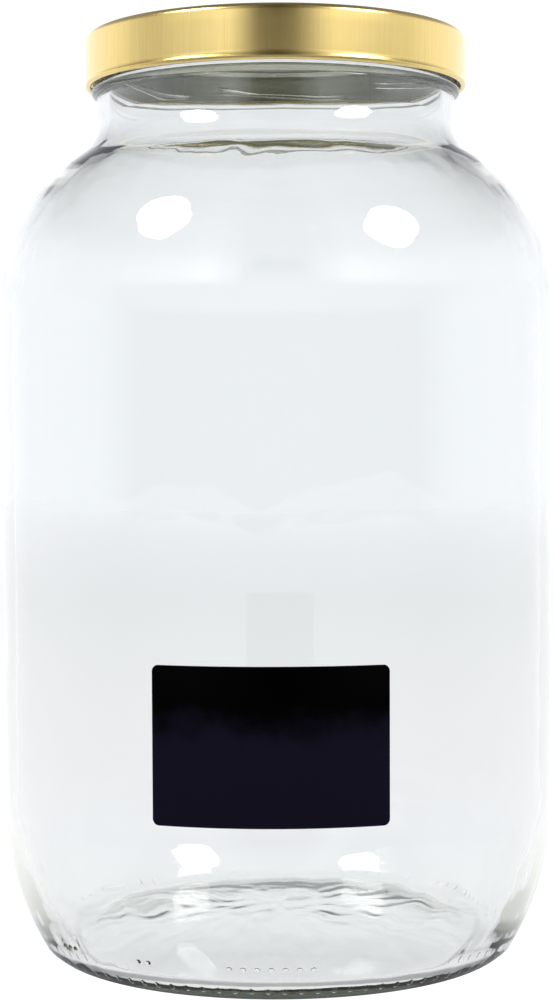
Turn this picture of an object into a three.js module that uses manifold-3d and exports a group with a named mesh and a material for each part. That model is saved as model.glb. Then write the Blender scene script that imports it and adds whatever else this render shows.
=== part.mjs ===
// A preserving jar of clear glass, shut with a gold twist-off lid, with a black label on its front.
// Millimetres, +Z up. The origin is the middle of the ring that the jar stands on. The front faces -Y.

import * as THREE from 'three';
import { mergeVertices } from 'three/addons/utils/BufferGeometryUtils.js';
import Module from 'manifold-3d';

// Driving dimensions of the glass, outside
const standingRadius = 60.5; // outer edge of the flat ring that the jar stands on
const standingWidth = 2;
const heelRadius = 11.7; // rounding from the standing ring into the heel
const heelTurn = 30.3; // degrees of the long, gentle curve above it
const bodyRadiusLow = 80.9; // where the heel ends
const bodyRadiusHigh = 81.5; // where the shoulder begins
const shoulderFoot = 193.8;
const shoulderRadius = 51.5;
const neckFilletRadius = 13.9;
const neckRadius = 53.2;
const beadHeight = 255.8; // middle of the ring just below the lid
const beadRadius = 1.5;
const mouthHeight = 270.2;
const mouthRounding = 1.3;

// The glass's walls and base
const neckWall = 3.9;
const bodyWall = 3.1;
const baseWall = 5.2;
const pushUp = 5.5; // rise of the base's middle
const pushUpPower = 3; // makes the rise flat in the middle and steeper at the ring

// Thread ridges on the mouth, one for each lug of the lid
const lugCount = 6;
const ridgeStart = 2; // degrees
const ridgeLength = 50; // degrees
const ridgeLevelLength = 14; // degrees that the lug rests under when the lid is shut
const ridgeHeight = 260.5; // middle of the level stretch
const ridgeRise = 3.5;
const ridgeDepth = 1.7;
const ridgeHalfRoot = 1.2;
const ridgeHalfCrest = 0.5;
const ridgeRunOut = 5; // degrees in which each end sinks into the glass
const ridgeSink = 0.8; // how far the ridge's root lies inside the wall
const ridgeSteps = 9;

// Lid. Heights are above its lower edge
const lidBottom = 257;
const lidHeight = 15.5;
const lidRadius = 56.5;
const lidWall = 0.6;
const lidCorner = 2;
const skirtInset = 0.15; // the skirt is this much slimmer than the curl
const curlRadius = 0.9;
const rimWidth = 7.2; // flat raised ring round the panel, without the corner
const panelDrop = 1.2;
const panelStepWidth = 1.6;
const lugHalfWidth = 6.5; // degrees
const lugTaper = 2; // degrees
const lugDepth = 1.55; // how far a lug reaches in from the inside of the skirt
const lugHeight = 1.3;
const lugFoot = 0.6;
const lugAngle = 10; // degrees, the first lug's place

// Sealing ring under the lid's rim
const fitGap = 0.3; // clearance kept between pieces that touch
const sealInnerRadius = 48.6;
const sealOuterRadius = 54.5;

// Label
const labelWidth = 65; // measured along the curve
const labelHeight = 43;
const labelFoot = 50;
const labelCorner = 1.8;
const labelThickness = 0.3;
const labelGap = 0.35; // over the widest point of a facet
const labelShift = -2.1; // along the curve, from the middle of the front
const labelColumns = 22;
const labelCornerSteps = 4;

const segments = 60; // sides of each round solid

const colours = {
  glass: 0xe8eeec,
  gold: 0xdcb863,
  seal: 0xe9e6da,
  label: 0x0d0c10,
};

// Helpers

const { degToRad, lerp } = THREE.MathUtils;

const wasm = await Module();
wasm.setup();

const point = (radius, height) => new THREE.Vector2(radius, height);

function arc(centre, radius, fromDegrees, toDegrees, steps, endRadius = radius) {
  return Array.from({ length: steps + 1 }, (_, i) => {
    const share = i / steps;
    const angle = degToRad(lerp(fromDegrees, toDegrees, share));
    const reach = lerp(radius, endRadius, share);
    return point(centre.x + reach * Math.cos(angle), centre.y + reach * Math.sin(angle));
  });
}

// Joins stretches of outline and drops points that repeat the one before
function outline(...stretches) {
  const closest = 0.01;
  const points = stretches.flat();
  return points.filter((p, i) => i === 0 || p.distanceTo(points[i - 1]) > closest);
}

// A geometry with shared corners and no empty triangles
function closedGeometry(geometry) {
  geometry.deleteAttribute('normal');
  geometry.deleteAttribute('uv');
  const merged = mergeVertices(geometry);
  const corners = merged.index.array;
  const kept = [];
  for (let i = 0; i < corners.length; i += 3) {
    const [a, b, c] = [corners[i], corners[i + 1], corners[i + 2]];
    if (a !== b && b !== c && c !== a) kept.push(a, b, c);
  }
  merged.setIndex(kept);
  return merged;
}

// Turns an outline of (radius, height) points round the Z axis
function turned(points) {
  return closedGeometry(new THREE.LatheGeometry(points, segments).rotateX(Math.PI / 2));
}

function toSolid(geometry) {
  return new wasm.Manifold(new wasm.Mesh({
    numProp: 3,
    vertProperties: new Float32Array(geometry.attributes.position.array),
    triVerts: new Uint32Array(geometry.index.array),
  }));
}

function toGeometry(solid) {
  const mesh = solid.getMesh();
  const geometry = new THREE.BufferGeometry();
  geometry.setAttribute('position', new THREE.BufferAttribute(new Float32Array(mesh.vertProperties), 3));
  geometry.setIndex(new THREE.BufferAttribute(new Uint32Array(mesh.triVerts), 1));
  return geometry;
}

function fused(base, extras) {
  const solid = extras.reduce((sum, extra) => sum.add(toSolid(extra)), toSolid(base));
  return toGeometry(solid);
}

// Closes a row of equal loops of points into a solid, with a flat cap at each end
function lofted(loops) {
  const size = loops[0].length;
  const positions = loops.flat().flatMap((p) => [p.x, p.y, p.z]);
  const index = [];
  for (let i = 0; i + 1 < loops.length; i += 1) {
    for (let j = 0; j < size; j += 1) {
      const next = (j + 1) % size;
      const [a, b, c, d] = [i * size + j, i * size + next, (i + 1) * size + next, (i + 1) * size + j];
      index.push(a, b, c, a, c, d);
    }
  }
  const last = (loops.length - 1) * size;
  for (let j = 1; j + 1 < size; j += 1) {
    index.push(0, j + 1, j, last, last + j, last + j + 1);
  }
  const geometry = new THREE.BufferGeometry();
  geometry.setAttribute('position', new THREE.Float32BufferAttribute(positions, 3));
  geometry.setIndex(index);
  return geometry;
}

// The point at an angle round the axis, a radius and a height
function around(angle, radius, height) {
  return new THREE.Vector3(radius * Math.cos(angle), radius * Math.sin(angle), height);
}

// Glass

// Heel: a small rounding, then a long curve that ends upright at the body
const heelCos = Math.cos(degToRad(heelTurn));
const longHeelRadius = (bodyRadiusLow - standingRadius - heelRadius * heelCos) / (1 - heelCos);
const heelTop = heelRadius + (longHeelRadius - heelRadius) * Math.sin(degToRad(heelTurn));
const heelCentre = point(standingRadius, heelRadius);
const longHeelCentre = point(bodyRadiusLow - longHeelRadius, heelTop);

// Shoulder and neck fillet: two arcs that meet without a corner
const shoulderCentre = point(bodyRadiusHigh - shoulderRadius, shoulderFoot);
const filletAcross = neckRadius + neckFilletRadius - shoulderCentre.x;
const shoulderTurn = THREE.MathUtils.radToDeg(Math.acos(filletAcross / (shoulderRadius + neckFilletRadius)));
const neckFoot = shoulderFoot + (shoulderRadius + neckFilletRadius) * Math.sin(degToRad(shoulderTurn));
const filletCentre = point(neckRadius + neckFilletRadius, neckFoot);

function bodyRadiusAt(height) {
  const share = THREE.MathUtils.clamp((height - heelTop) / (shoulderFoot - heelTop), 0, 1);
  return lerp(bodyRadiusLow, bodyRadiusHigh, share);
}

// The base's rise, from the axis out to its rim
function pushUpCurve(rimRadius, rimHeight) {
  const shares = [0, 0.45, 0.7, 0.88, 1];
  return shares.map((share) => point(share * rimRadius, rimHeight + pushUp * (1 - share ** pushUpPower)));
}

function glassOutline() {
  const bodyArcSteps = 7;
  const smallArcSteps = 4;
  const innerHeelSteps = 3;
  const mouthSteps = 2;
  const beadSteps = 4;
  const boreRadius = neckRadius - neckWall;
  const mouthCentreHeight = mouthHeight - mouthRounding;

  const outside = [
    pushUpCurve(standingRadius - standingWidth, 0),
    arc(heelCentre, heelRadius, -90, -heelTurn, smallArcSteps),
    arc(longHeelCentre, longHeelRadius, -heelTurn, 0, smallArcSteps),
    arc(shoulderCentre, shoulderRadius, 0, shoulderTurn, bodyArcSteps),
    arc(filletCentre, neckFilletRadius, 180 + shoulderTurn, 180, smallArcSteps),
    arc(point(neckRadius, beadHeight), beadRadius, -90, 90, beadSteps),
    arc(point(neckRadius - mouthRounding, mouthCentreHeight), mouthRounding, 0, 90, mouthSteps),
  ];
  const inside = [
    arc(point(boreRadius + mouthRounding, mouthCentreHeight), mouthRounding, 90, 180, mouthSteps),
    arc(filletCentre, neckFilletRadius + neckWall, 180, 180 + shoulderTurn, smallArcSteps),
    arc(shoulderCentre, shoulderRadius - neckWall, shoulderTurn, 0, bodyArcSteps, shoulderRadius - bodyWall),
    arc(longHeelCentre, longHeelRadius - bodyWall, 0, -heelTurn, innerHeelSteps, longHeelRadius - baseWall),
    arc(heelCentre, heelRadius - baseWall, -heelTurn, -90, innerHeelSteps),
    pushUpCurve(standingRadius, baseWall).reverse(),
  ];
  return outline(...outside, ...inside);
}

// One thread ridge: level over the lug's resting place, then climbing
function threadRidge(startAngle) {
  const loops = [];
  for (let i = 0; i <= ridgeSteps; i += 1) {
    const along = (ridgeLength * i) / ridgeSteps;
    const climb = Math.max(0, along - ridgeLevelLength) / (ridgeLength - ridgeLevelLength);
    const middle = ridgeHeight + ridgeRise * climb;
    const nearEnd = Math.min(along, ridgeLength - along) / ridgeRunOut;
    const crest = neckRadius + ridgeDepth * Math.min(1, nearEnd);
    const root = neckRadius - ridgeSink;
    const angle = degToRad(startAngle + along);
    loops.push([
      around(angle, root, middle - ridgeHalfRoot),
      around(angle, root, middle + ridgeHalfRoot),
      around(angle, crest, middle + ridgeHalfCrest),
      around(angle, crest, middle - ridgeHalfCrest),
    ]);
  }
  return lofted(loops);
}

function jarGeometry() {
  const pitch = 360 / lugCount;
  const ridges = Array.from({ length: lugCount }, (_, i) => threadRidge(i * pitch + ridgeStart));
  return fused(turned(glassOutline()), ridges);
}

// Lid

function lidOutline() {
  const cornerSteps = 3;
  const curlSteps = 6;
  const skirtRadius = lidRadius - skirtInset;
  const cornerCentre = point(skirtRadius - lidCorner, lidHeight - lidCorner);
  const curlCentre = point(lidRadius - curlRadius, curlRadius);
  const rimInner = cornerCentre.x - rimWidth;
  const panelRadius = rimInner - panelStepWidth;
  const panelTop = lidHeight - panelDrop;
  const insideRadius = skirtRadius - lidWall;
  const curlStart = 45; // degrees, where the skirt runs into the curl
  const curlEnd = -225; // where the curl comes back to the inside of the skirt

  return outline(
    [point(0, panelTop), point(panelRadius, panelTop), point(rimInner, lidHeight)],
    arc(cornerCentre, lidCorner, 90, 0, cornerSteps),
    [point(skirtRadius, 2 * curlRadius)],
    arc(curlCentre, curlRadius, curlStart, curlEnd, curlSteps),
    [point(insideRadius, 2 * curlRadius + lidWall)],
    arc(cornerCentre, lidCorner - lidWall, 0, 90, cornerSteps),
    [point(rimInner + lidWall / 2, lidHeight - lidWall)],
    [point(panelRadius + lidWall / 2, panelTop - lidWall), point(0, panelTop - lidWall)],
  ).reverse();
}

// A lug pressed in from the curl, seen from above as a short arc with slanting ends
function lidLug(middleAngle) {
  const outer = lidRadius - curlRadius;
  const inner = lidRadius - skirtInset - lidWall - lugDepth;
  const wide = degToRad(lugHalfWidth);
  const narrow = degToRad(lugHalfWidth - lugTaper);
  const shape = new THREE.Shape();
  shape.absarc(0, 0, outer, -wide, wide, false);
  shape.absarc(0, 0, inner, narrow, -narrow, true);
  shape.closePath();
  const lug = new THREE.ExtrudeGeometry(shape, { depth: lugHeight, bevelEnabled: false, curveSegments: 3 });
  return closedGeometry(lug.translate(0, 0, lugFoot).rotateZ(degToRad(middleAngle)));
}

function lidGeometry() {
  const pitch = 360 / lugCount;
  const lugs = Array.from({ length: lugCount }, (_, i) => lidLug(i * pitch + lugAngle));
  return fused(turned(lidOutline()), lugs);
}

// The sealing ring fills the space between the glass's mouth and the underside of the lid's rim
function sealGeometry() {
  const bottom = mouthHeight + fitGap - lidBottom;
  const top = lidHeight - lidWall - fitGap;
  const edge = 0.3;
  return turned([
    point(sealInnerRadius, bottom),
    point(sealOuterRadius, bottom),
    point(sealOuterRadius, top - edge),
    point(sealOuterRadius - edge, top),
    point(sealInnerRadius, top),
    point(sealInnerRadius, bottom),
  ]);
}

// Label

// A thin sheet with rounded corners that follows the body's curve. It faces -Y
function labelGeometry() {
  const half = labelWidth / 2;
  const cornerPlaces = Array.from({ length: labelCornerSteps + 1 }, (_, i) => {
    const turn = degToRad((90 * i) / labelCornerSteps);
    return half - labelCorner * (1 - Math.sin(turn));
  });
  const flatHalf = half - labelCorner;
  const flatPlaces = Array.from({ length: labelColumns - 1 }, (_, i) => {
    return lerp(-flatHalf, flatHalf, (i + 1) / labelColumns);
  });
  const places = [...cornerPlaces.map((s) => -s).reverse(), ...flatPlaces, ...cornerPlaces];

  const loops = places.map((place) => {
    const pastFlat = Math.max(0, Math.abs(place) - flatHalf);
    const trim = labelCorner - Math.sqrt(Math.max(0, labelCorner ** 2 - pastFlat ** 2));
    const low = labelFoot + trim;
    const high = labelFoot + labelHeight - trim;
    const angle = place / bodyRadiusAt(labelFoot) - Math.PI / 2;
    const corner = (height, lift) => around(angle, bodyRadiusAt(height) + lift, height);
    return [
      corner(low, labelGap),
      corner(high, labelGap),
      corner(high, labelGap + labelThickness),
      corner(low, labelGap + labelThickness),
    ];
  });
  return lofted(loops);
}

// Scene

function piece(name, geometry, material) {
  const mesh = new THREE.Mesh(geometry, material);
  mesh.name = name;
  return mesh;
}

const glass = new THREE.MeshStandardMaterial({
  color: colours.glass, roughness: 0.05, metalness: 0, transparent: true, opacity: 0.35,
});
const goldLacquer = new THREE.MeshStandardMaterial({ color: colours.gold, roughness: 0.3, metalness: 0.9 });
const sealCompound = new THREE.MeshStandardMaterial({ color: colours.seal, roughness: 0.6, metalness: 0 });
const blackLabel = new THREE.MeshStandardMaterial({ color: colours.label, roughness: 0.45, metalness: 0 });

const preservingJar = new THREE.Group();
preservingJar.add(piece('jar_glass', jarGeometry(), glass));

const lidGroup = new THREE.Group();
lidGroup.position.z = lidBottom;
lidGroup.add(piece('lid', lidGeometry(), goldLacquer));
lidGroup.add(piece('lid_seal', sealGeometry(), sealCompound));
preservingJar.add(lidGroup);

const label = piece('label', labelGeometry(), blackLabel);
label.rotation.z = labelShift / bodyRadiusAt(labelFoot);
preservingJar.add(label);

export default preservingJar;
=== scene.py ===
import math

import bpy
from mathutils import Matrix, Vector


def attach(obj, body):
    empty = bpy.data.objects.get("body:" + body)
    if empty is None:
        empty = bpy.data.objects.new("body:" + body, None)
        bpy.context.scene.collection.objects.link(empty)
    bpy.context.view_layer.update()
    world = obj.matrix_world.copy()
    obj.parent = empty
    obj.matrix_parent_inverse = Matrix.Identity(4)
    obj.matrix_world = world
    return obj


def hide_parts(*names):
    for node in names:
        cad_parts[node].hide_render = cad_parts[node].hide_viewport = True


# A preserving jar of clear glass with a gold twist-off lid and a black label.
# Outlines and sizes are in millimetres, as in the part's source; mm turns them into metres.
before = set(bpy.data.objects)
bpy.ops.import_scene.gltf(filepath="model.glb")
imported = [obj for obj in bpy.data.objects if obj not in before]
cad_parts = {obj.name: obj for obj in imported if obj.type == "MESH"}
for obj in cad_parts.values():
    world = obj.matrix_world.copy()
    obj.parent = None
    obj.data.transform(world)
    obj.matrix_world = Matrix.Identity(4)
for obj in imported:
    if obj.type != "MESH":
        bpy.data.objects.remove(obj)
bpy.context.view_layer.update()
mm = 0.001
print("frame loaded:", sorted(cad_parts))


# camera and studio

studio = {
    "cameraDistance": 669.4,  # from the jar's axis to the lens
    "cameraHeight": 151.4,
    "cameraLens": 80.52,
    "cameraSensor": 36,
    "cameraPitch": 1.404,  # degrees downwards
    "cameraRoll": 0.232,  # degrees
    "floorSize": 9000,
    "floorGap": 0.05,  # keeps the glass from sharing the floor's surface
    "floorColour": (0.05, 0.05, 0.05, 1),
    "floorRoughness": 0.7,
    "floorGlow": [  # the table is lit from below, so it has no shadow; close round the jar it is painted brighter, a painted pool of light, and it changes further out; by share of half the floor's size
        (0.0, (1.14, 1.14, 1.2, 1)), (0.02, (1.12, 1.12, 1.17, 1)), (0.035, (1.02, 1.02, 1.07, 1)),
        (0.09, (0.97, 0.964, 1, 1)), (0.33, (0.938, 0.944, 0.98, 1)), (0.65, (1, 1, 1.05, 1)),
        (1.0, (1.05, 1.07, 1.12, 1)),
    ],
    "floorInMirror": (0.3, 0.31, 0.32, 1),  # its glow in reflections, in front of the jar
    "floorAside": (1.0, 1.01, 1.03, 1),  # the same beside and behind the jar
    "floorTurn": (0.4, -0.6),  # Y of the directions between which one gives way to the other
    "contactReach": 100,
    "contactShade": [  # by share of contactReach
        (0.0, 1.0), (0.595, 1.0), (0.61, 0.5), (0.64, 0.5), (0.67, 1.0),
    ],
    "contactTurn": (0.1, -0.6),
    "contactBehind": 0.2,  # how much of that shade is left at the jar's back
    "roomColour": (1.09, 1.107, 1.16, 1),
    "roomGlow": [(0.0, 1.0), (0.62, 1.0), (0.76, 0.3), (1.0, 0.12)],  # from straight down to straight up
    "roomGlowThrough": [  # the same for light that came through the glass
        (0.0, 1.0), (0.6, 1.0), (0.69, 0.88), (0.745, 0.5), (0.79, 0.08), (1.0, 0.04),
    ],
    "wallGlow": [  # by azimuth from the camera, in degrees
        (-150, 1.2), (-109, 1.12), (-87, 0.76), (-74, 0.7), (-60, 0.98), (-44, 1.14), (-28, 1.66),
        (-19, 0.9), (-12, 0.1), (3, 0.08), (12, 0.13), (21, 0.68), (32, 1.45), (62, 1.0), (78, 0.92),
        (112, 1.14), (150, 1.2),
    ],
    "wallFoot": (0.08, 0.17),  # Z of the directions between which the lit walls begin
    "lowGlow": 0.35,  # what is under them in front of the jar
    "lowTurn": (-0.4, 0.6),
    "wallTurn": (0.1, 0.4),  # behind this the lit walls show in reflections alone
    "lightDistance": 1400,
    "lightAim": 120,
    "lightSize": 470,
    "overheadSize": 1600,
}


def makeCamera():
    camera = bpy.data.objects.new("camera", bpy.data.cameras.new("camera"))
    bpy.context.scene.collection.objects.link(camera)
    camera.location = (0, -studio["cameraDistance"] * mm, studio["cameraHeight"] * mm)
    pitch, roll = math.radians(90 - studio["cameraPitch"]), math.radians(studio["cameraRoll"])
    camera.rotation_euler = (pitch, roll, 0)
    camera.data.lens = studio["cameraLens"]
    camera.data.sensor_width = studio["cameraSensor"]
    camera.data.clip_start = 0.01
    bpy.context.scene.camera = camera


def joinNodes(tree, start, output, end, socket):
    tree.links.new(start.outputs[output], end.inputs[socket])


def addNode(tree, kind, settings=None, **values):
    # a shader node with its settings, and its inputs filled in by name
    made = tree.nodes.new(kind)
    for name, value in (settings or {}).items():
        setattr(made, name, value)
    for name, value in values.items():
        made.inputs[name.replace("_", " ")].default_value = value
    return made


def mathNode(tree, operation, second=None):
    made = addNode(tree, "ShaderNodeMath", {"operation": operation})
    if second is not None:
        made.inputs[1].default_value = second
    return made


def mixColours(tree, first=None, second=None, blend="MIX"):
    # its colours are sockets 6 and 7, its factor is socket 0 and its result is output 2
    made = addNode(tree, "ShaderNodeMix", {"data_type": "RGBA", "blend_type": blend})
    made.inputs[0].default_value = 1
    for socket, colour in ((6, first), (7, second)):
        if colour:
            made.inputs[socket].default_value = colour
    return made


def softStep(tree, limits, **values):
    # 0 up to the first limit and 1 past the second, with a soft change between them
    return addNode(tree, "ShaderNodeMapRange", {"interpolation_type": "SMOOTHSTEP"},
                   From_Min=limits[0], From_Max=limits[1], **values)


def splitPlace(tree, place, output="Object"):
    parts = addNode(tree, "ShaderNodeSeparateXYZ")
    joinNodes(tree, place, output, parts, 0)
    return parts


def mirrorOnly(tree, path):
    # 1 for a ray that a gloss sent back; light that came through glass counts as glossy too
    both = mathNode(tree, "MULTIPLY")
    joinNodes(tree, path, "Is Glossy Ray", both, 0)
    joinNodes(tree, path, "Is Reflection Ray", both, 1)
    return both


def rampNode(tree, stops, smooth=True):
    # stops are pairs of place and colour; a single number is a grey
    made = addNode(tree, "ShaderNodeValToRGB")
    made.color_ramp.interpolation = "EASE" if smooth else "LINEAR"
    elements = made.color_ramp.elements
    while len(elements) < len(stops):
        elements.new(0.5)
    for element, (place, colour) in zip(elements, stops):
        element.position = place
        element.color = colour if isinstance(colour, tuple) else (colour, colour, colour, 1)
    return made


def floorShade(tree, distance, parts):
    # a dark line under the standing ring, strongest at the front
    share = mathNode(tree, "MULTIPLY", 1 / (studio["contactReach"] * mm))
    joinNodes(tree, distance, "Value", share, 0)
    ring = rampNode(tree, studio["contactShade"])
    joinNodes(tree, share, 0, ring, 0)
    strength = softStep(tree, studio["contactTurn"], To_Min=studio["contactBehind"], To_Max=1)
    joinNodes(tree, parts, "Y", strength, "Value")
    shade = mixColours(tree, first=(1, 1, 1, 1))
    joinNodes(tree, strength, 0, shade, 0)
    joinNodes(tree, ring, 0, shade, 7)
    return shade


def floorLight(tree, path):
    # the floor's own glow, which is dimmer in reflections, and the shade on it
    place = addNode(tree, "ShaderNodeTexCoord")
    distance = addNode(tree, "ShaderNodeVectorMath", {"operation": "LENGTH"})
    joinNodes(tree, place, "Object", distance, 0)
    outward = mathNode(tree, "MULTIPLY", 2 / (studio["floorSize"] * mm))
    joinNodes(tree, distance, "Value", outward, 0)
    lit = rampNode(tree, studio["floorGlow"], smooth=False)
    joinNodes(tree, outward, 0, lit, 0)

    heading = addNode(tree, "ShaderNodeVectorMath", {"operation": "NORMALIZE"})
    joinNodes(tree, place, "Object", heading, 0)
    parts = splitPlace(tree, heading, 0)
    inFront = softStep(tree, studio["floorTurn"])
    joinNodes(tree, parts, "Y", inFront, "Value")
    mirrored = mixColours(tree, studio["floorAside"], studio["floorInMirror"])
    joinNodes(tree, inFront, 0, mirrored, 0)
    glow = mixColours(tree)
    joinNodes(tree, mirrorOnly(tree, path), 0, glow, 0)
    joinNodes(tree, lit, 0, glow, 6)
    joinNodes(tree, mirrored, 2, glow, 7)

    underGlass = mixColours(tree, second=(1, 1, 1, 1))
    joinNodes(tree, path, "Is Camera Ray", underGlass, 0)  # the shade shows only through the glass
    joinNodes(tree, floorShade(tree, distance, parts), 2, underGlass, 6)
    shaded = mixColours(tree, blend="MULTIPLY")
    joinNodes(tree, glow, 2, shaded, 6)
    joinNodes(tree, underGlass, 2, shaded, 7)
    return shaded


def makeFloor():
    bpy.ops.object.select_all(action="DESELECT")
    bpy.ops.mesh.primitive_plane_add(size=studio["floorSize"] * mm, location=(0, 0, -studio["floorGap"] * mm))
    floor = bpy.context.object
    floor.name = "floor"
    material = bpy.data.materials.new("paleFloor")
    material.use_nodes = True
    tree = material.node_tree
    surface = tree.nodes["Principled BSDF"]
    surface.inputs["Base Color"].default_value = studio["floorColour"]
    surface.inputs["Roughness"].default_value = studio["floorRoughness"]
    surface.inputs["Specular IOR Level"].default_value = 0
    surface.inputs["Emission Strength"].default_value = 1
    path = addNode(tree, "ShaderNodeLightPath")
    joinNodes(tree, floorLight(tree, path), 2, surface, "Emission Color")
    side = addNode(tree, "ShaderNodeNewGeometry")
    clear = addNode(tree, "ShaderNodeBsdfTransparent")
    mix = addNode(tree, "ShaderNodeMixShader")
    joinNodes(tree, side, "Backfacing", mix, 0)  # seen from below, the floor isn't there
    joinNodes(tree, surface, "BSDF", mix, 1)
    joinNodes(tree, clear, "BSDF", mix, 2)
    joinNodes(tree, mix, "Shader", tree.nodes["Material Output"], "Surface")
    floor.data.materials.append(material)


def frontWalls(tree, split, forward):
    # the lit walls by azimuth; low down the room in front is a dull grey
    turn = mathNode(tree, "ARCTAN2")
    joinNodes(tree, split, "X", turn, 0)
    joinNodes(tree, forward, 0, turn, 1)
    across = addNode(tree, "ShaderNodeMapRange", From_Min=-math.pi, From_Max=math.pi)
    joinNodes(tree, turn, 0, across, "Value")
    lit = rampNode(tree, [(0.5 + azimuth / 360, glow) for azimuth, glow in studio["wallGlow"]])
    joinNodes(tree, across, "Result", lit, 0)
    front = softStep(tree, studio["lowTurn"])
    joinNodes(tree, forward, 0, front, "Value")
    dull = addNode(tree, "ShaderNodeMix", {"data_type": "FLOAT"})
    dull.inputs[2].default_value = 1
    dull.inputs[3].default_value = studio["lowGlow"]
    joinNodes(tree, front, 0, dull, 0)
    pastFoot = softStep(tree, studio["wallFoot"])
    joinNodes(tree, split, "Z", pastFoot, "Value")
    walls = mixColours(tree)
    joinNodes(tree, pastFoot, 0, walls, 0)
    joinNodes(tree, dull, 0, walls, 6)
    joinNodes(tree, lit, 0, walls, 7)
    return walls


def makeWorld():
    # a white room: bright round the horizon, dim overhead, with a dim gap where the camera stands
    world = bpy.data.worlds.new("studioRoom")
    world.use_nodes = True
    tree = world.node_tree
    background = tree.nodes["Background"]
    split = splitPlace(tree, addNode(tree, "ShaderNodeTexCoord"), "Generated")
    lift = addNode(tree, "ShaderNodeMapRange", From_Min=-1, From_Max=1)
    joinNodes(tree, split, "Z", lift, "Value")
    height = rampNode(tree, studio["roomGlow"])
    joinNodes(tree, lift, "Result", height, 0)
    heightThrough = rampNode(tree, studio["roomGlowThrough"])
    joinNodes(tree, lift, "Result", heightThrough, 0)
    forward = mathNode(tree, "MULTIPLY", -1)
    joinNodes(tree, split, "Y", forward, 0)
    shaped = mixColours(tree, blend="MULTIPLY")
    joinNodes(tree, height, 0, shaped, 6)
    joinNodes(tree, frontWalls(tree, split, forward), 2, shaped, 7)

    # the back of the room is plain to light that came through the glass, and the camera always sees white
    path = addNode(tree, "ShaderNodeLightPath")
    inFront = softStep(tree, studio["wallTurn"])
    joinNodes(tree, forward, 0, inFront, "Value")
    wallsSeen = mathNode(tree, "MAXIMUM")
    joinNodes(tree, mirrorOnly(tree, path), 0, wallsSeen, 0)
    joinNodes(tree, inFront, 0, wallsSeen, 1)
    room = mixColours(tree)
    joinNodes(tree, wallsSeen, 0, room, 0)
    joinNodes(tree, heightThrough, 0, room, 6)
    joinNodes(tree, shaped, 2, room, 7)
    seen = mixColours(tree, second=(1, 1, 1, 1))
    joinNodes(tree, path, "Is Camera Ray", seen, 0)
    joinNodes(tree, room, 2, seen, 6)
    cool = mixColours(tree, second=studio["roomColour"], blend="MULTIPLY")
    joinNodes(tree, seen, 2, cool, 6)
    joinNodes(tree, cool, 2, background, "Color")
    background.inputs["Strength"].default_value = 1
    bpy.context.scene.world = world


def makeLight(name, azimuth, elevation, power):
    light = bpy.data.objects.new(name, bpy.data.lights.new(name, "AREA"))
    bpy.context.scene.collection.objects.link(light)
    light.data.shape = "DISK"
    light.data.size = studio["lightSize"] * mm
    light.data.energy = power
    turn, lift = math.radians(azimuth), math.radians(elevation)
    aim = Vector((math.sin(turn) * math.cos(lift), -math.cos(turn) * math.cos(lift), math.sin(lift)))
    light.location = aim * studio["lightDistance"] * mm + Vector((0, 0, studio["lightAim"] * mm))
    light.rotation_euler = aim.to_track_quat("Z", "Y").to_euler()
    return light


makeCamera()
makeFloor()
makeWorld()
makeLight("softboxLeft", -58, 46, 8)
makeLight("softboxRight", 56, 40, 8)
overhead = makeLight("overhead", 0, 88, 16)
overhead.data.size = studio["overheadSize"] * mm
overhead.visible_glossy = False  # it only lights the floor and the label
overhead.visible_transmission = False
bpy.context.scene.view_settings.view_transform = "Standard"
print("camera, floor and lights ready")


# modelling helpers

def deselectAll():
    if bpy.context.object and bpy.context.object.mode != "OBJECT":
        bpy.ops.object.mode_set(mode="OBJECT")
    bpy.ops.object.select_all(action="DESELECT")


def makeActive(piece):
    deselectAll()
    piece.select_set(True)
    bpy.context.view_layer.objects.active = piece


def arc(centre, radius, start, end, steps, endRadius=None):
    # points (radius, height) on an arc, in degrees; the radius may grow evenly to endRadius
    points = []
    for i in range(steps + 1):
        share = i / steps
        angle = math.radians(start + (end - start) * share)
        reach = radius + ((endRadius or radius) - radius) * share
        points.append((centre[0] + reach * math.cos(angle), centre[1] + reach * math.sin(angle)))
    return points


def straight(start, end, steps):
    # the points between two ends, without the ends
    return [
        tuple(a + (b - a) * i / steps for a, b in zip(start, end))
        for i in range(1, steps)
    ]


def withoutRepeats(points, closest=0.005):
    kept = points[:1]
    for p in points[1:]:
        if math.dist(p, kept[-1]) > closest:
            kept.append(p)
    return kept


def turnOutline(name, outline, sides):
    # traces the outline by extruding one vertex, then spins it round the jar's axis
    deselectAll()
    bpy.ops.mesh.primitive_plane_add(size=mm)
    piece = bpy.context.object
    piece.name = piece.data.name = name
    bpy.ops.object.mode_set(mode="EDIT")
    bpy.ops.mesh.select_mode(type="VERT")
    bpy.ops.mesh.merge(type="CENTER")
    bpy.ops.transform.translate(value=(outline[0][0] * mm, 0, outline[0][1] * mm))
    for here, there in zip(outline, outline[1:]):
        step = ((there[0] - here[0]) * mm, 0, (there[1] - here[1]) * mm)
        bpy.ops.mesh.extrude_region_move(TRANSFORM_OT_translate={"value": step})
    bpy.ops.mesh.select_all(action="SELECT")
    bpy.ops.mesh.spin(steps=sides, angle=2 * math.pi, center=(0, 0, 0), axis=(0, 0, 1))
    bpy.ops.mesh.select_all(action="SELECT")
    bpy.ops.mesh.remove_doubles(threshold=0.001 * mm)
    bpy.ops.mesh.normals_make_consistent(inside=False)
    bpy.ops.object.mode_set(mode="OBJECT")
    bpy.ops.object.shade_smooth()
    return piece


def applyModifier(piece, kind, **settings):
    makeActive(piece)
    modifier = piece.modifiers.new(kind.lower(), kind)
    for name, value in settings.items():
        setattr(modifier, name, value)
    bpy.ops.object.modifier_apply(modifier=modifier.name)


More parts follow.
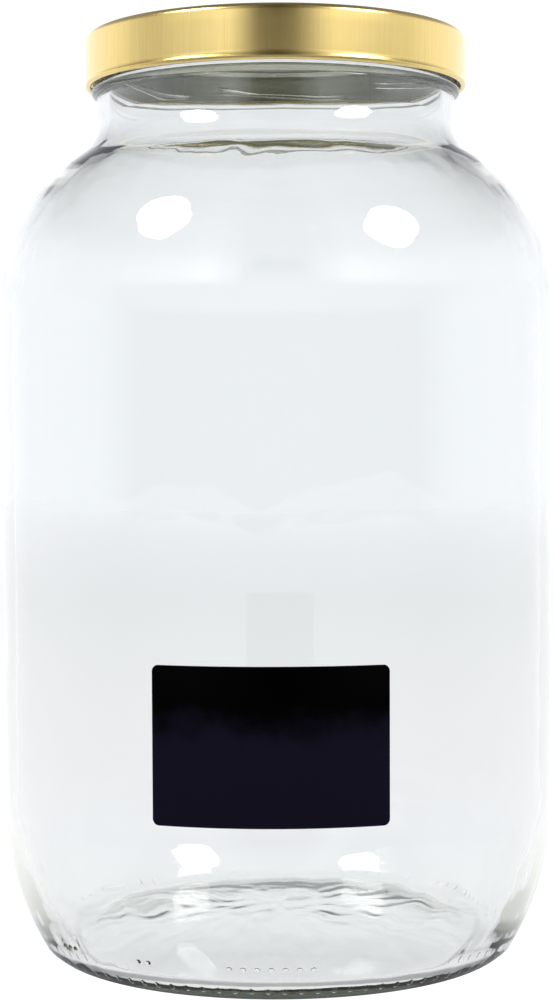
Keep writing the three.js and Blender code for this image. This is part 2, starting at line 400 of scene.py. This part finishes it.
def selectFaces(piece, wanted):
    # selects the faces whose middle and normal pass the test
    makeActive(piece)
    bpy.ops.object.mode_set(mode="EDIT")
    bpy.ops.mesh.select_mode(type="FACE")
    bpy.ops.mesh.select_all(action="DESELECT")
    bpy.ops.object.mode_set(mode="OBJECT")
    for face in piece.data.polygons:
        face.select = wanted(face.center / mm, face.normal)
    bpy.ops.object.mode_set(mode="EDIT")


def setPlace(piece):
    # puts a copy's turn and place into its mesh
    makeActive(piece)
    bpy.ops.object.transform_apply(location=True, rotation=True, scale=True)


# shared surface effects

def makeGroup(name, inputs, outputs):
    tree = bpy.data.node_groups.new(name, "ShaderNodeTree")
    for socket, kind, value in inputs:
        made = tree.interface.new_socket(socket, in_out="INPUT", socket_type="NodeSocket" + kind)
        if value is not None:
            made.default_value = value
    for socket, kind in outputs:
        tree.interface.new_socket(socket, in_out="OUTPUT", socket_type="NodeSocket" + kind)
    return tree, tree.nodes.new("NodeGroupInput"), tree.nodes.new("NodeGroupOutput")


def makeWearGroup():
    # soft cloudy handling marks over a fine grain
    tree, given, result = makeGroup(
        "handledSurface",
        [("Place", "Vector", None), ("Cloud Scale", "Float", 30.0), ("Cloud Detail", "Float", 4.0),
         ("Grain Scale", "Float", 900.0), ("Roughness", "Float", 0.2), ("Spread", "Float", 0.1),
         ("Grain", "Float", 0.3)],
        [("Roughness", "Float"), ("Height", "Float"), ("Tone", "Float")],
    )
    cloud = addNode(tree, "ShaderNodeTexNoise", Roughness=0.6)
    grain = addNode(tree, "ShaderNodeTexNoise", Detail=3, Roughness=0.65)
    for noise, scale in ((cloud, "Cloud Scale"), (grain, "Grain Scale")):
        joinNodes(tree, given, "Place", noise, "Vector")
        joinNodes(tree, given, scale, noise, "Scale")
    joinNodes(tree, given, "Cloud Detail", cloud, "Detail")
    middle = mathNode(tree, "SUBTRACT", 0.5)
    joinNodes(tree, cloud, 0, middle, 0)
    spread = mathNode(tree, "MULTIPLY_ADD")
    joinNodes(tree, middle, 0, spread, 0)
    joinNodes(tree, given, "Spread", spread, 1)
    joinNodes(tree, given, "Roughness", spread, 2)
    smoothest = mathNode(tree, "MAXIMUM", 0.0)
    joinNodes(tree, spread, 0, smoothest, 0)
    height = addNode(tree, "ShaderNodeMix", {"data_type": "FLOAT"})
    joinNodes(tree, given, "Grain", height, 0)
    joinNodes(tree, cloud, 0, height, 2)
    joinNodes(tree, grain, 0, height, 3)
    joinNodes(tree, smoothest, 0, result, "Roughness")
    joinNodes(tree, height, 0, result, "Height")
    joinNodes(tree, cloud, 0, result, "Tone")
    return tree


handledSurface = makeWearGroup()


def startMaterial(name):
    material = bpy.data.materials.new(name)
    material.use_nodes = True
    tree = material.node_tree
    return material, tree, tree.nodes["Principled BSDF"], addNode(tree, "ShaderNodeTexCoord")


def addWear(tree, place, surface, values, bump):
    # bump is its strength and its depth in millimetres
    wear = tree.nodes.new("ShaderNodeGroup")
    wear.node_tree = handledSurface
    for name, value in values.items():
        wear.inputs[name].default_value = value
    joinNodes(tree, place, "Object", wear, "Place")
    joinNodes(tree, wear, "Roughness", surface, "Roughness")
    relief = addNode(tree, "ShaderNodeBump", Strength=bump[0], Distance=bump[1] * mm)
    joinNodes(tree, wear, "Height", relief, "Height")
    joinNodes(tree, relief, "Normal", surface, "Normal")
    return wear


def addTones(tree, wear, surface, tones):
    # the base colour follows the soft clouds of the wear
    colour = rampNode(tree, tones)
    joinNodes(tree, wear, "Tone", colour, 0)
    joinNodes(tree, colour, 0, surface, "Base Color")


# jar glass

jar = {
    "sides": 216,
    "standingRadius": 60.5,
    "standingWidth": 2,
    "heelRadius": 11.7,
    "heelTurn": 30.3,
    "bodyRadiusLow": 80.9,
    "bodyRadiusHigh": 81.5,
    "shoulderFoot": 193.8,
    "shoulderRadius": 51.5,
    "neckFilletRadius": 13.9,
    "neckRadius": 53.2,
    "beadHeight": 255.8,
    "beadRadius": 1.5,
    "mouthHeight": 270.2,
    "mouthRounding": 1.3,
    "neckWall": 3.9,
    "bodyWall": 3.1,
    "baseWall": 5.2,
    "pushUp": 5.5,
    "insidePoint": 60,  # a height on the axis that the base's and heel's inner faces look at
    "unevenness": 0.5,  # the blown inner wall is never quite even
    "unevenSize": 26,
    "unevenShare": [(0, 1), (24, 1), (60, 0.15), (188, 0.15), (209, 0.8), (235, 0.8), (249, 0)],  # by height
    "ripple": 0.26,
    "rippleSize": 5.5,
    "rippleShare": [(0, 1), (26, 1), (50, 0.1), (188, 0.1), (209, 0.4), (235, 0.4), (249, 0)],
    "colour": (0.975, 0.985, 0.98, 1),
    "index": 1.52,
    "tint": (0.64, 0.655, 0.61, 1),
    "tintDensity": 52,
    "lastGlossy": 3.5,  # past this many reflections a ray counts as caught in the wall
    "lastBounce": 11.5,  # and past this many bounces of any kind
    "wallGlow": [  # how bright a caught ray comes out, by share of the mouth's height
        (0.0, 0.01), (0.01, 0.02), (0.024, 0.6), (0.1, 0.75), (0.7, 0.88), (0.79, 0.12), (1.0, 0.1),
    ],
    "baseReach": (59, 66),  # radii between which the painted shade of the base gives way to the glowing heel
}


def pushUpCurve(rimRadius, rimHeight, steps=14):
    return [
        (rimRadius * i / steps, rimHeight + jar["pushUp"] * (1 - (i / steps) ** 3))
        for i in range(steps + 1)
    ]


def jarCurves():
    # centres and radii that the outer and inner outline share
    turn = math.radians(jar["heelTurn"])
    heelReach = jar["bodyRadiusLow"] - jar["standingRadius"] - jar["heelRadius"] * math.cos(turn)
    longRadius = heelReach / (1 - math.cos(turn))
    heelTop = jar["heelRadius"] + (longRadius - jar["heelRadius"]) * math.sin(turn)
    shoulder = (jar["bodyRadiusHigh"] - jar["shoulderRadius"], jar["shoulderFoot"])
    filletMiddle = jar["neckRadius"] + jar["neckFilletRadius"]
    reach = jar["shoulderRadius"] + jar["neckFilletRadius"]
    shoulderTurn = math.degrees(math.acos((filletMiddle - shoulder[0]) / reach))
    neckFoot = jar["shoulderFoot"] + reach * math.sin(math.radians(shoulderTurn))
    return {
        "longRadius": longRadius,
        "heelTop": heelTop,
        "heel": (jar["standingRadius"], jar["heelRadius"]),
        "longHeel": (jar["bodyRadiusLow"] - longRadius, heelTop),
        "shoulder": shoulder,
        "shoulderTurn": shoulderTurn,
        "fillet": (filletMiddle, neckFoot),
    }


curves = jarCurves()


def outerOutline():
    bodyLow = (jar["bodyRadiusLow"], curves["heelTop"])
    bodyHigh = (jar["bodyRadiusHigh"], jar["shoulderFoot"])
    bead = (jar["neckRadius"], jar["beadHeight"])
    rim = (jar["neckRadius"] - jar["mouthRounding"], jar["mouthHeight"] - jar["mouthRounding"])
    points = pushUpCurve(jar["standingRadius"] - jar["standingWidth"], 0)
    points += arc(curves["heel"], jar["heelRadius"], -90, -jar["heelTurn"], 14)
    points += arc(curves["longHeel"], curves["longRadius"], -jar["heelTurn"], 0, 14)
    points += straight(bodyLow, bodyHigh, 24)
    points += arc(curves["shoulder"], jar["shoulderRadius"], 0, curves["shoulderTurn"], 20)
    points += arc(curves["fillet"], jar["neckFilletRadius"], 180 + curves["shoulderTurn"], 180, 9)
    points += arc(bead, jar["beadRadius"], -90, 90, 9)
    beadTop = (jar["neckRadius"], jar["beadHeight"] + jar["beadRadius"])
    points += straight(beadTop, (jar["neckRadius"], rim[1]), 5)
    points += arc(rim, jar["mouthRounding"], 0, 90, 5)
    return points


def innerOutline():
    bore = jar["neckRadius"] - jar["neckWall"]
    rim = (bore + jar["mouthRounding"], jar["mouthHeight"] - jar["mouthRounding"])
    filletRadius = jar["neckFilletRadius"] + jar["neckWall"]
    upperRadius = jar["shoulderRadius"] - jar["neckWall"]
    lowerRadius = jar["shoulderRadius"] - jar["bodyWall"]
    bodyHigh = (jar["bodyRadiusHigh"] - jar["bodyWall"], jar["shoulderFoot"])
    bodyLow = (jar["bodyRadiusLow"] - jar["bodyWall"], curves["heelTop"])
    points = arc(rim, jar["mouthRounding"], 90, 180, 5)
    points += straight((bore, rim[1]), (bore, curves["fillet"][1]), 6)
    points += arc(curves["fillet"], filletRadius, 180, 180 + curves["shoulderTurn"], 12)
    points += arc(curves["shoulder"], upperRadius, curves["shoulderTurn"], 0, 24, lowerRadius)
    points += straight(bodyHigh, bodyLow, 36)
    points += arc(curves["longHeel"], curves["longRadius"] - jar["bodyWall"], 0, -jar["heelTurn"], 18,
                  curves["longRadius"] - jar["baseWall"])
    points += arc(curves["heel"], jar["heelRadius"] - jar["baseWall"], -jar["heelTurn"], -90, 8)
    points += pushUpCurve(jar["standingRadius"], jar["baseWall"], 20)[::-1]
    return points


def surfaceAt(height):
    # the outer radius at a height, and the slope of the surface there
    points = [p for p in outerOutline() if p[0] > jar["neckRadius"] - 0.1]
    for low, high in zip(points, points[1:]):
        if low[1] <= height <= high[1]:
            share = (height - low[1]) / (high[1] - low[1])
            return low[0] + (high[0] - low[0]) * share, math.atan2(high[1] - low[1], high[0] - low[0])
    return points[-1][0], math.pi / 2


ridge = {
    "count": 6,
    "start": 2,  # degrees
    "length": 50,
    "levelLength": 14,
    "height": 260.5,
    "rise": 3.5,
    "depth": 1.7,
    "halfRoot": 1.3,
    "halfCrest": 0.75,
    "runOut": 5,
    "sink": 0.5,
    "buried": 0.3,  # how deep its ends start in the glass
    "edge": 0.3,
    "steps": 26,
}


def makeRidge():
    # one thread ridge: a slice of its section is extruded round the mouth, a little at a time
    deselectAll()
    bpy.ops.mesh.primitive_plane_add(size=mm, rotation=(math.pi / 2, 0, 0))
    piece = bpy.context.object
    piece.name = "threadRidge"
    bpy.ops.object.transform_apply(location=False, rotation=True, scale=False)
    loops = []
    for i in range(ridge["steps"] + 1):
        along = ridge["length"] * i / ridge["steps"]
        climb = max(0, along - ridge["levelLength"]) / (ridge["length"] - ridge["levelLength"])
        middle = ridge["height"] + ridge["rise"] * climb
        nearEnd = min(1, min(along, ridge["length"] - along) / ridge["runOut"])
        stand = (ridge["depth"] + ridge["buried"]) * math.sin(nearEnd * math.pi / 2)
        crest = jar["neckRadius"] - ridge["buried"] + stand
        root = jar["neckRadius"] - ridge["sink"] - ridge["buried"]
        angle = math.radians(ridge["start"] + along)
        loops.append([
            (root, middle - ridge["halfRoot"], angle),
            (root, middle + ridge["halfRoot"], angle),
            (crest, middle + ridge["halfCrest"], angle),
            (crest, middle - ridge["halfCrest"], angle),
        ])
    bpy.ops.object.mode_set(mode="EDIT")
    bpy.ops.mesh.select_all(action="SELECT")
    for _ in loops[1:]:
        bpy.ops.mesh.extrude_region_move(TRANSFORM_OT_translate={"value": (0, mm, 0)})
    bpy.ops.object.mode_set(mode="OBJECT")
    slices = sorted(piece.data.vertices, key=lambda v: (round(v.co.y, 6), math.atan2(v.co.z, v.co.x)))
    order = [0, 3, 2, 1]  # corners by their turn round the slice, matched to each loop
    for i, loop in enumerate(loops):
        for vertex, corner in zip(slices[4 * i:4 * i + 4], order):
            radius, height, angle = loop[corner]
            vertex.co = (radius * math.cos(angle) * mm, radius * math.sin(angle) * mm, height * mm)
    bpy.ops.object.mode_set(mode="EDIT")
    bpy.ops.mesh.select_all(action="SELECT")
    bpy.ops.mesh.normals_make_consistent(inside=False)
    bpy.ops.object.mode_set(mode="OBJECT")
    applyModifier(piece, "BEVEL", width=ridge["edge"] * mm, segments=2, limit_method="ANGLE")
    return piece


dots = {
    "height": 10.7,
    "size": (0.75, 0.85, 0.65),  # half sizes: along the heel's curve, round the jar, outwards
    "front": [-100.6 + 2.99 * i for i in range(7)],  # degrees; a short row on the front of the heel
    "aside": [-121.6, -119.1, -145.2, -143.1, -141],
}

knurl = {
    "height": 3.9,
    "size": (1.3, 0.7, 0.1),
    "start": -88.7,
    "count": 96,
}


def makeBump(height, size, angle):
    # a low rounded bump that lies on the heel
    radius, slope = surfaceAt(height)
    turn = math.radians(angle)
    deselectAll()
    bpy.ops.mesh.primitive_uv_sphere_add(segments=10, ring_count=6, radius=mm)
    bump = bpy.context.object
    bump.scale = size
    bump.rotation_euler = (0, math.pi - slope, turn)
    bump.location = (radius * math.cos(turn) * mm, radius * math.sin(turn) * mm, height * mm)
    setPlace(bump)
    return bump


def copyRound(piece, count):
    # equal copies round the jar's axis, each with its own mesh
    copies = [piece]
    for i in range(1, count):
        makeActive(piece)
        bpy.ops.object.duplicate(linked=False)
        copy = bpy.context.object
        copy.rotation_euler = (0, 0, 2 * math.pi * i / count)
        setPlace(copy)
        copies.append(copy)
    return copies


def joinAll(pieces):
    deselectAll()
    for piece in pieces:
        piece.select_set(True)
    bpy.context.view_layer.objects.active = pieces[0]
    bpy.ops.object.join()
    return pieces[0]


def shareAt(height, shares):
    # most at the heel and the shoulder, and none at the mouth
    for (low, first), (high, second) in zip(shares, shares[1:]):
        if low <= height <= high:
            return first + (second - first) * (height - low) / (high - low)
    return 0


def roughenInside(piece):
    # the inner wall swells and thins a little, as blown glass does, and fades out at the mouth
    swells = piece.vertex_groups.new(name="swells")
    ripples = piece.vertex_groups.new(name="ripples")
    for vertex in piece.data.vertices:
        place = vertex.co / mm
        if place.z < curves["heelTop"]:
            inner = vertex.normal.dot(place - Vector((0, 0, jar["insidePoint"]))) < 0
        else:
            inner = math.hypot(place.x, place.y) < surfaceAt(place.z)[0] - jar["bodyWall"] / 2
        if inner:
            swells.add([vertex.index], shareAt(place.z, jar["unevenShare"]), "REPLACE")
            ripples.add([vertex.index], shareAt(place.z, jar["rippleShare"]), "REPLACE")
    for name, size, strength in (
        ("swells", jar["unevenSize"], jar["unevenness"]),
        ("ripples", jar["rippleSize"], jar["ripple"]),
    ):
        texture = bpy.data.textures.new(name, "CLOUDS")
        texture.noise_scale = size * mm
        texture.noise_depth = 1
        applyModifier(piece, "DISPLACE", texture=texture, texture_coords="LOCAL", mid_level=0.5,
                      strength=strength * mm, vertex_group=name)
    piece.vertex_groups.clear()


def makeJar():
    piece = turnOutline("jarGlass", withoutRepeats(outerOutline() + innerOutline()), jar["sides"])
    roughenInside(piece)
    extras = copyRound(makeRidge(), ridge["count"])
    extras += [makeBump(dots["height"], dots["size"], angle) for angle in dots["front"] + dots["aside"]]
    extras += copyRound(makeBump(knurl["height"], knurl["size"], knurl["start"]), knurl["count"])
    relief = joinAll(extras)
    applyModifier(piece, "BOOLEAN", object=relief, operation="UNION", solver="MANIFOLD")
    bpy.data.objects.remove(relief)
    makeActive(piece)
    bpy.ops.object.shade_smooth_by_angle(angle=math.radians(40))
    return piece


def caughtLight(tree, place):
    # light that runs on inside the wall past the renderer's last bounce comes out as a painted glow; it is
    # kept dark near the foot and inside the base, and dim from the upper shoulder up, as painted shade
    path = addNode(tree, "ShaderNodeLightPath")
    trapped = mathNode(tree, "GREATER_THAN", jar["lastGlossy"])
    joinNodes(tree, path, "Glossy Depth", trapped, 0)
    spent = mathNode(tree, "GREATER_THAN", jar["lastBounce"])
    joinNodes(tree, path, "Ray Depth", spent, 0)
    either = mathNode(tree, "MAXIMUM")
    joinNodes(tree, trapped, 0, either, 0)
    joinNodes(tree, spent, 0, either, 1)
    height = addNode(tree, "ShaderNodeMapRange", From_Max=jar["mouthHeight"] * mm)
    joinNodes(tree, splitPlace(tree, place), "Z", height, "Value")
    level = addNode(tree, "ShaderNodeVectorMath", {"operation": "MULTIPLY"})
    level.inputs[1].default_value = (1, 1, 0)
    joinNodes(tree, place, "Object", level, 0)
    radius = addNode(tree, "ShaderNodeVectorMath", {"operation": "LENGTH"})
    joinNodes(tree, level, 0, radius, 0)
    pastBase = softStep(tree, [limit * mm for limit in jar["baseReach"]])
    joinNodes(tree, radius, "Value", pastBase, "Value")
    heightOffBase = mathNode(tree, "MULTIPLY")
    joinNodes(tree, height, "Result", heightOffBase, 0)
    joinNodes(tree, pastBase, "Result", heightOffBase, 1)
    glow = rampNode(tree, jar["wallGlow"])
    joinNodes(tree, heightOffBase, 0, glow, 0)
    leaving = mixColours(tree, first=(0, 0, 0, 1))
    joinNodes(tree, either, 0, leaving, 0)
    joinNodes(tree, glow, 0, leaving, 7)
    return leaving


def glassMaterial():
    material, tree, surface, place = startMaterial("clearGlass")
    surface.inputs["Base Color"].default_value = jar["colour"]
    surface.inputs["Transmission Weight"].default_value = 1
    surface.inputs["IOR"].default_value = jar["index"]
    addWear(tree, place, surface,
            {"Cloud Scale": 34, "Cloud Detail": 1, "Roughness": 0.004, "Spread": 0.02, "Grain": 0},
            (0.3, 0.2))
    tint = addNode(tree, "ShaderNodeVolumeAbsorption", Color=jar["tint"], Density=jar["tintDensity"])
    joinNodes(tree, tint, 0, tree.nodes["Material Output"], "Volume")
    joinNodes(tree, caughtLight(tree, place), 2, surface, "Emission Color")
    surface.inputs["Emission Strength"].default_value = 1
    material.cycles.emission_sampling = "NONE"
    return material


jarGlass = makeJar()
jarGlass.data.materials.clear()
jarGlass.data.materials.append(glassMaterial())
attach(jarGlass, "root")
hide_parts("jar_glass")
print("jar glass made:", len(jarGlass.data.polygons), "faces")


# lid

lid = {
    "sides": 216,
    "bottom": 257,
    "height": 15.5,
    "radius": 56.5,
    "sheet": 0.24,
    "corner": 2,
    "skirtInset": 0.15,
    "curlRadius": 0.9,
    "curlTurn": (35, -235),  # degrees; the curl's outline runs from the skirt round to its cut edge
    "curlTop": 2.6,
    "rimWidth": 7.2,
    "panelDrop": 1.2,
    "panelStep": 1.6,
    "stepWidth": 2.2,
    "beadPlaces": (31, 38),  # shallow rings pressed into the panel
    "beadRise": 0.35,
    "beadWidth": 3.2,
    "lugs": 6,
    "lugAngle": 10,
    "lugHalfWidth": 6.5,
    "lugReach": 53.75,
    "lugLevels": (0.6, 1.8),  # above the lid's bottom
    "lugMiddle": 1.2,
    "lugGrip": 0.35,  # how far outside the curl's inmost line a lug still starts
    "lugSteps": ((0.6, 0.96), (1.0, 0.9)),  # share of the way in, and how much flatter it gets
    "goldTones": [
        (0.3, (0.75, 0.545, 0.185, 1)), (0.5, (0.82, 0.62, 0.228, 1)), (0.7, (0.87, 0.68, 0.275, 1)),
    ],
    "rollingLines": (3200, 40, 40),  # they run along Y and Z, close together in X
    "insideTones": [(0.3, (0.46, 0.46, 0.36, 1)), (0.7, (0.56, 0.56, 0.45, 1))],
    # painted light: the pale tone the lid's inside is painted in towards its left and right
    "insidePaintedLight": (0.95, 0.96, 0.95, 1),
    "paintedLightFrom": (28, 42),  # distances to the left and right
    "insideMetal": (0.85, 0.1),  # in the middle and at the sides
}


def lidOutline():
    base, top = lid["bottom"], lid["bottom"] + lid["height"]
    skirt = lid["radius"] - lid["skirtInset"]
    corner = (skirt - lid["corner"], top - lid["corner"])
    panel = top - lid["panelDrop"]
    rimInner = corner[0] - lid["rimWidth"]
    stepMiddle = rimInner - lid["panelStep"] / 2
    half = lid["beadWidth"] / 2
    points = [(0, panel)]
    for middle in lid["beadPlaces"]:
        points.append((middle - half, panel))
        points += [
            (middle - half + 2 * half * i / 8, panel + lid["beadRise"] * math.sin(math.pi * i / 8) ** 2)
            for i in range(1, 8)
        ]
        points.append((middle + half, panel))
    for i in range(11):
        climb = 0.5 - 0.5 * math.cos(math.pi * i / 10)
        points.append((stepMiddle + lid["stepWidth"] * (i / 10 - 0.5), panel + lid["panelDrop"] * climb))
    points += arc(corner, lid["corner"], 90, 0, 8)
    points += straight((skirt, corner[1]), (skirt, base + lid["curlTop"]), 4)
    points.append((skirt, base + lid["curlTop"]))
    curl = (lid["radius"] - lid["curlRadius"], base + lid["curlRadius"])
    points += arc(curl, lid["curlRadius"], *lid["curlTurn"], 18)
    return points


def goldMaterial():
    # tinplate under clear gold lacquer, with the fine lines that rolling leaves along the sheet
    material, tree, surface, place = startMaterial("goldLacquer")
    surface.inputs["Metallic"].default_value = 1
    surface.inputs["Coat Weight"].default_value = 0.2
    surface.inputs["Coat Roughness"].default_value = 0.15
    along = addNode(tree, "ShaderNodeMapping", Scale=lid["rollingLines"])
    joinNodes(tree, place, "Object", along, "Vector")
    lines = addNode(tree, "ShaderNodeTexNoise", Scale=1, Detail=3, Roughness=0.7)
    joinNodes(tree, along, 0, lines, "Vector")
    wear = addWear(tree, place, surface,
                   {"Cloud Scale": 45, "Grain Scale": 1400, "Roughness": 0.25, "Spread": 0.1, "Grain": 0.4},
                   (0.06, 0.05))
    tone = addNode(tree, "ShaderNodeMix", {"data_type": "FLOAT"}, Factor=0.6)
    joinNodes(tree, wear, "Tone", tone, 2)
    joinNodes(tree, lines, 0, tone, 3)
    colour = rampNode(tree, lid["goldTones"])
    joinNodes(tree, tone, 0, colour, 0)
    joinNodes(tree, colour, 0, surface, "Base Color")
    height = addNode(tree, "ShaderNodeMix", {"data_type": "FLOAT"}, Factor=0.5)
    joinNodes(tree, wear, "Height", height, 2)
    joinNodes(tree, lines, 0, height, 3)
    relief = next(n for n in tree.nodes if n.type == "BUMP")
    joinNodes(tree, height, 0, relief, "Height")
    return material


def lidInsideMaterial():
    # the lid's inner face has an olive-grey food lacquer; towards its left and right it is painted pale and
    # less metallic, which is painted light, not lacquer
    material, tree, surface, place = startMaterial("insideLacquerAndPaintedLight")
    wear = addWear(tree, place, surface,
                   {"Cloud Scale": 60, "Grain Scale": 900, "Roughness": 0.2, "Spread": 0.15, "Grain": 0.4},
                   (0.1, 0.08))
    colour = rampNode(tree, lid["insideTones"])
    joinNodes(tree, wear, "Tone", colour, 0)
    off = mathNode(tree, "ABSOLUTE")
    joinNodes(tree, splitPlace(tree, place), "X", off, 0)
    # painted light: past these distances to the left and right the inside turns pale and less metallic
    aside = softStep(tree, [distance * mm for distance in lid["paintedLightFrom"]])
    joinNodes(tree, off, 0, aside, "Value")
    paintedPaler = mixColours(tree, second=lid["insidePaintedLight"])
    joinNodes(tree, aside, 0, paintedPaler, 0)
    joinNodes(tree, colour, 0, paintedPaler, 6)
    joinNodes(tree, paintedPaler, 2, surface, "Base Color")
    middleMetal, sideMetal = lid["insideMetal"]
    metal = addNode(tree, "ShaderNodeMapRange", To_Min=middleMetal, To_Max=sideMetal)
    joinNodes(tree, aside, 0, metal, "Value")
    joinNodes(tree, metal, 0, surface, "Metallic")
    return material


def makeLid():
    piece = turnOutline("lidShell", withoutRepeats(lidOutline()), lid["sides"])
    piece.data.materials.append(goldMaterial())
    piece.data.materials.append(lidInsideMaterial())
    applyModifier(piece, "SOLIDIFY", thickness=lid["sheet"] * mm, offset=-1, use_even_offset=True,
                  material_offset=1)
    pitch = 360 / lid["lugs"]
    innerCurl = lid["radius"] - 2 * lid["curlRadius"]

    def onLug(middle, normal):
        # the curl's inward faces near each lug's place
        turn = math.degrees(math.atan2(middle.y, middle.x)) - lid["lugAngle"]
        off = abs((turn + pitch / 2) % pitch - pitch / 2)
        radius = math.hypot(middle.x, middle.y)
        inward = -(normal.x * middle.x + normal.y * middle.y) / radius
        low, high = lid["lugLevels"]
        return (off < lid["lugHalfWidth"] and radius < innerCurl + lid["lugGrip"]
                and low < middle.z - lid["bottom"] < high and inward > 0.4)

    selectFaces(piece, onLug)
    here = innerCurl
    for share, squash in lid["lugSteps"]:
        reach = lid["lugReach"] + (innerCurl - lid["lugReach"]) * (1 - share)
        bpy.ops.mesh.extrude_region_move()
        bpy.ops.transform.resize(value=(reach / here, reach / here, 1), center_override=(0, 0, 0))
        level = (lid["bottom"] + lid["lugMiddle"]) * mm
        bpy.ops.transform.resize(value=(1, 1, squash), center_override=(0, 0, level))
        here = reach
    bpy.ops.object.mode_set(mode="OBJECT")
    makeActive(piece)
    bpy.ops.object.shade_smooth_by_angle(angle=math.radians(45))
    return piece


lidShell = makeLid()
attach(lidShell, "root")
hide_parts("lid")
print("lid made:", len(lidShell.data.polygons), "faces")


# sealing ring

seal = {
    "inner": 48.6,
    "outer": 54.5,
    "bottom": 270.6,
    "top": 271.6,
    "edge": 0.4,
    "groove": 0.12,
    "chamfer": 0.3,
    "sides": 144,
    "tones": [(0.3, (0.7, 0.68, 0.6, 1)), (0.7, (0.82, 0.81, 0.74, 1))],
}


def sealOutline():
    # a soft ring with a shallow groove where the mouth's rim presses
    inner, outer, low, high = (seal[name] for name in ("inner", "outer", "bottom", "top"))
    edge = seal["edge"]
    flat = outer - inner - 2 * edge
    points = [(inner, high)]
    points += arc((inner + edge, low + edge), edge, 180, 270, 4)
    points += [
        (inner + edge + flat * i / 12, low + seal["groove"] * math.sin(math.pi * i / 12) ** 2)
        for i in range(1, 12)
    ]
    points += arc((outer - edge, low + edge), edge, 270, 360, 4)
    points += [(outer, high - seal["chamfer"]), (outer - seal["chamfer"], high), (inner, high)]
    return points


def sealMaterial():
    material, tree, surface, place = startMaterial("sealCompound")
    surface.inputs["Specular IOR Level"].default_value = 0.4
    wear = addWear(tree, place, surface,
                   {"Cloud Scale": 90, "Grain Scale": 1500, "Roughness": 0.55, "Spread": 0.2, "Grain": 0.5},
                   (0.2, 0.1))
    addTones(tree, wear, surface, seal["tones"])
    return material


sealRing = turnOutline("sealRing", withoutRepeats(sealOutline()), seal["sides"])
makeActive(sealRing)
bpy.ops.object.shade_smooth_by_angle(angle=math.radians(40))
sealRing.data.materials.append(sealMaterial())
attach(sealRing, "root")
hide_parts("lid_seal")
print("sealing ring made")


# label

label = {
    "width": 65,  # along the curve
    "height": 43,
    "foot": 50,
    "corner": 1.8,
    "shift": -2.1,
    "film": 0.12,
    "edge": 0.04,
    "lift": 0.03,
    "columns": 56,
    # a faint bluish painted reflection low on the label, plain black at its top
    "tones": [(0.74, (0.0056, 0.0048, 0.0115, 1)), (1.0, (0.0001, 0.0001, 0.0001, 1))],
    "cloudShare": 0.5,  # how much the clouds shift where the painted reflection gives way to black up the label
    "backTones": [(0.3, (0.84, 0.85, 0.86, 1)), (0.7, (0.9, 0.91, 0.92, 1))],
}


def labelMaterial():
    # black film, deeper black towards its top; the faint bluish tone towards its foot is a painted reflection
    material, tree, surface, place = startMaterial("blackFilmAndSheen")
    surface.inputs["Specular IOR Level"].default_value = 0.02
    wear = addWear(tree, place, surface,
                   {"Cloud Scale": 60, "Grain Scale": 2600, "Roughness": 0.34, "Spread": 0.22, "Grain": 0.7},
                   (0.12, 0.06))
    height = addNode(tree, "ShaderNodeMapRange", From_Min=label["foot"] * mm,
                     From_Max=(label["foot"] + label["height"]) * mm)
    joinNodes(tree, splitPlace(tree, place), "Z", height, "Value")
    wearAndSheen = mathNode(tree, "MULTIPLY_ADD", label["cloudShare"])
    joinNodes(tree, wear, "Tone", wearAndSheen, 0)
    joinNodes(tree, height, "Result", wearAndSheen, 2)
    colour = rampNode(tree, label["tones"])
    joinNodes(tree, wearAndSheen, 0, colour, 0)
    joinNodes(tree, colour, 0, surface, "Base Color")
    return material


def labelBackMaterial():
    # the film's glued side is pale
    material, tree, surface, place = startMaterial("filmBack")
    wear = addWear(tree, place, surface,
                   {"Cloud Scale": 80, "Grain Scale": 1800, "Roughness": 0.6, "Spread": 0.1, "Grain": 0.5},
                   (0.1, 0.05))
    addTones(tree, wear, surface, label["backTones"])
    return material


def makeLabel():
    deselectAll()
    radius = surfaceAt(label["foot"])[0]
    bpy.ops.mesh.primitive_plane_add(size=1, rotation=(math.pi / 2, 0, 0))
    piece = bpy.context.object
    piece.name = piece.data.name = "labelFilm"
    piece.dimensions = (label["width"] * mm, label["height"] * mm, 0)
    piece.location = (0, 0, (label["foot"] + label["height"] / 2) * mm)
    setPlace(piece)
    bpy.ops.object.mode_set(mode="EDIT")
    bpy.ops.mesh.select_all(action="SELECT")
    bpy.ops.mesh.bevel(offset=label["corner"] * mm, segments=8, affect="VERTICES")
    for i in range(1, label["columns"]):
        bpy.ops.mesh.select_all(action="SELECT")
        place = (i / label["columns"] - 0.5) * label["width"] * mm
        bpy.ops.mesh.bisect(plane_co=(place, 0, 0), plane_no=(1, 0, 0))
    bpy.ops.object.mode_set(mode="OBJECT")
    for vertex in piece.data.vertices:  # rolls the flat film onto the body
        around = vertex.co.x / mm + label["shift"]
        height = vertex.co.z / mm
        reach = surfaceAt(height)[0] + label["lift"]
        turn = around / radius - math.pi / 2
        vertex.co = (reach * math.cos(turn) * mm, reach * math.sin(turn) * mm, vertex.co.z)
    piece.data.materials.append(labelMaterial())
    piece.data.materials.append(labelBackMaterial())
    applyModifier(piece, "SOLIDIFY", thickness=label["film"] * mm, offset=1)
    for face in piece.data.polygons:  # the side that faces the glass
        outward = Vector((face.center.x, face.center.y, 0))
        face.material_index = 1 if face.normal.dot(outward.normalized()) < -0.5 else 0
    applyModifier(piece, "BEVEL", width=label["edge"] * mm, segments=2, limit_method="ANGLE")
    makeActive(piece)
    bpy.ops.object.shade_smooth_by_angle(angle=math.radians(35))
    return piece


labelFilm = makeLabel()
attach(labelFilm, "root")
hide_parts("label")
print("label made")
